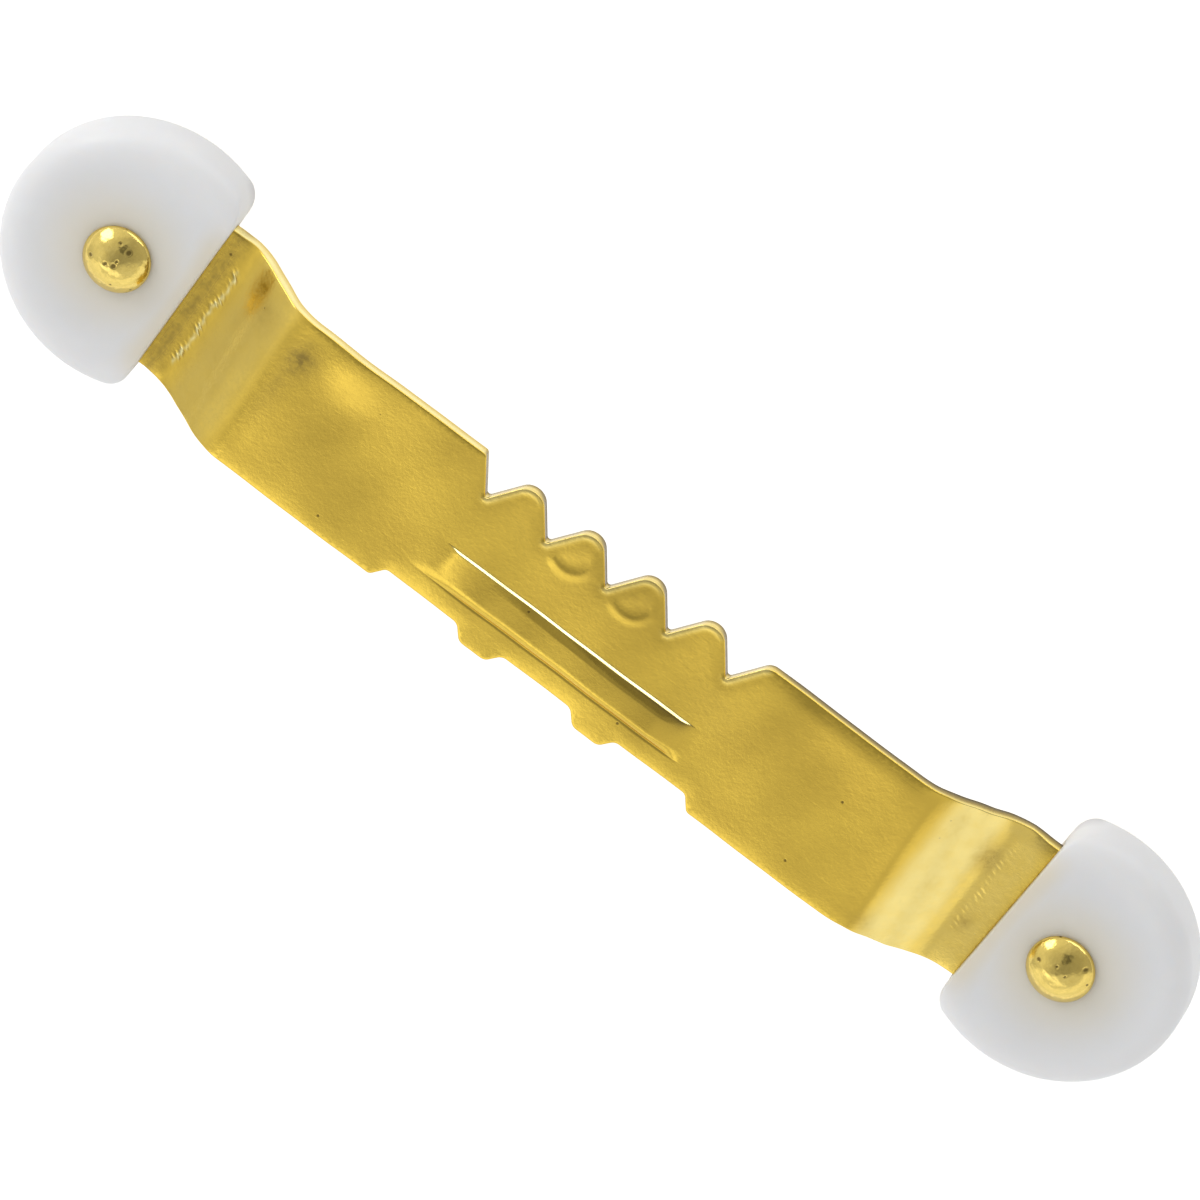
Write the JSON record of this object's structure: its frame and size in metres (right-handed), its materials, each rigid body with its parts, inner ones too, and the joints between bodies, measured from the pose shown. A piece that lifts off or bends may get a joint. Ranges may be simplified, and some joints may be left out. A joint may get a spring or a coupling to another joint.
{
  "type": "sawtooth picture hanger",
  "caption": "Sawtooth picture hanger: a bent brass-plated strip with a toothed edge and a raised bead, its ends held in half-round plastic caps with a domed nail through each.",
  "frame": {"origin": "midway between the two nail axes, on the plane of the caps' undersides, where the hanger meets the picture frame", "axes": "+X along the strip to the right cap, +Y across the strip towards the teeth, +Z away from the picture frame"},
  "size_m": [0.0609, 0.012, 0.0141],
  "materials": {
    "plate_metal": "satin, brass-plated strip with rolled bright edges",
    "cap_plastic": "translucent white, soft sheen",
    "nail_metal": "polished, brass-plated"
  },
  "bodies": {
    "plate": {"hanger_plate": "plate_metal"},
    "left_cap": {"left_cap": "cap_plastic"},
    "right_cap": {"right_cap": "cap_plastic"},
    "left_nail": {"left_nail": "nail_metal"},
    "right_nail": {"right_nail": "nail_metal"}
  },
  "joints": [
    {"name": "left_cap_swivel", "type": "hinge", "parent": "plate", "child": "left_cap", "pos_m": [-0.025, 0, 0], "axis": [0, 0, 1], "range_deg": [-3.6, 3.6]},
    {"name": "right_cap_swivel", "type": "hinge", "parent": "plate", "child": "right_cap", "pos_m": [0.025, 0, 0], "axis": [0, 0, 1], "range_deg": [-1.2, 6]},
    {"name": "left_nail_slide", "type": "slide", "parent": "left_cap", "child": "left_nail", "axis": [0, 0, 1], "range_m": [0, 0.0092]},
    {"name": "right_nail_slide", "type": "slide", "parent": "right_cap", "child": "right_nail", "axis": [0, 0, 1], "range_m": [0, 0.0092]}
  ]
}
